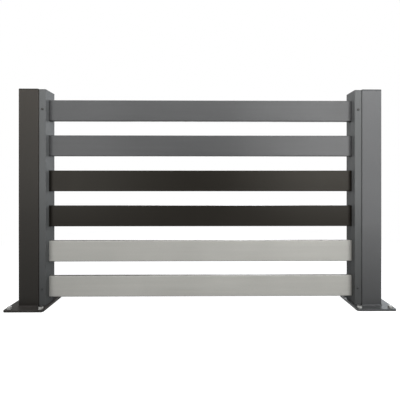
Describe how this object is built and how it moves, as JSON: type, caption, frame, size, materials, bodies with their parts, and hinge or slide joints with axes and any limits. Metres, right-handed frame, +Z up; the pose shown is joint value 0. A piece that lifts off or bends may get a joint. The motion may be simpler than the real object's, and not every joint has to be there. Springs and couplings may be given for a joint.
{
  "type": "metal fence panel",
  "caption": "Aluminium slat fence bay: level hollow slats held by slotted channels between two square capped posts on bolted base plates",
  "frame": {"origin": "centre of the left base plate's underside, at ground level", "axes": "+X along the fence from the left post to the right post, +Y from the front to the back, +Z up"},
  "size_m": [1.256, 0.128, 0.7185],
  "materials": {
    "dark_post": "dark brown fine satin powder coat on aluminium",
    "grey_post": "mid grey satin powder coat on aluminium",
    "dark_cap": "dark brown matt powder coat on a post cap",
    "grey_cap": "dark grey matt powder coat on a cap",
    "dark_plate": "dark powder coat on a welded aluminium base plate",
    "grey_plate": "grey powder coat on a welded aluminium base plate",
    "channel_grey": "grey matt powder coat on an aluminium extrusion",
    "slat_grey": "mid grey satin powder coat",
    "slat_black": "near-black satin powder coat",
    "slat_silver": "light warm grey metallic powder coat",
    "zinc_bolt": "dull zinc plating on the anchor bolts and washers",
    "dark_screw": "blackened steel on the lock screws"
  },
  "bodies": {
    "root": {"left_post": "dark_post", "right_post": "grey_post", "left_post_cap": "dark_cap", "right_post_cap": "grey_cap", "left_base_plate": "dark_plate", "right_base_plate": "grey_plate", "left_base_weld": "dark_plate", "right_base_weld": "grey_plate", "left_slat_channel": "channel_grey", "right_slat_channel": "channel_grey", "left_channel_cap": "grey_cap", "right_channel_cap": "grey_cap", "slat_1": "slat_grey", "slat_2": "slat_grey", "slat_3": "slat_black", "slat_4": "slat_black", "slat_5": "slat_silver", "slat_6": "slat_silver"}
  },
  "joints": []
}
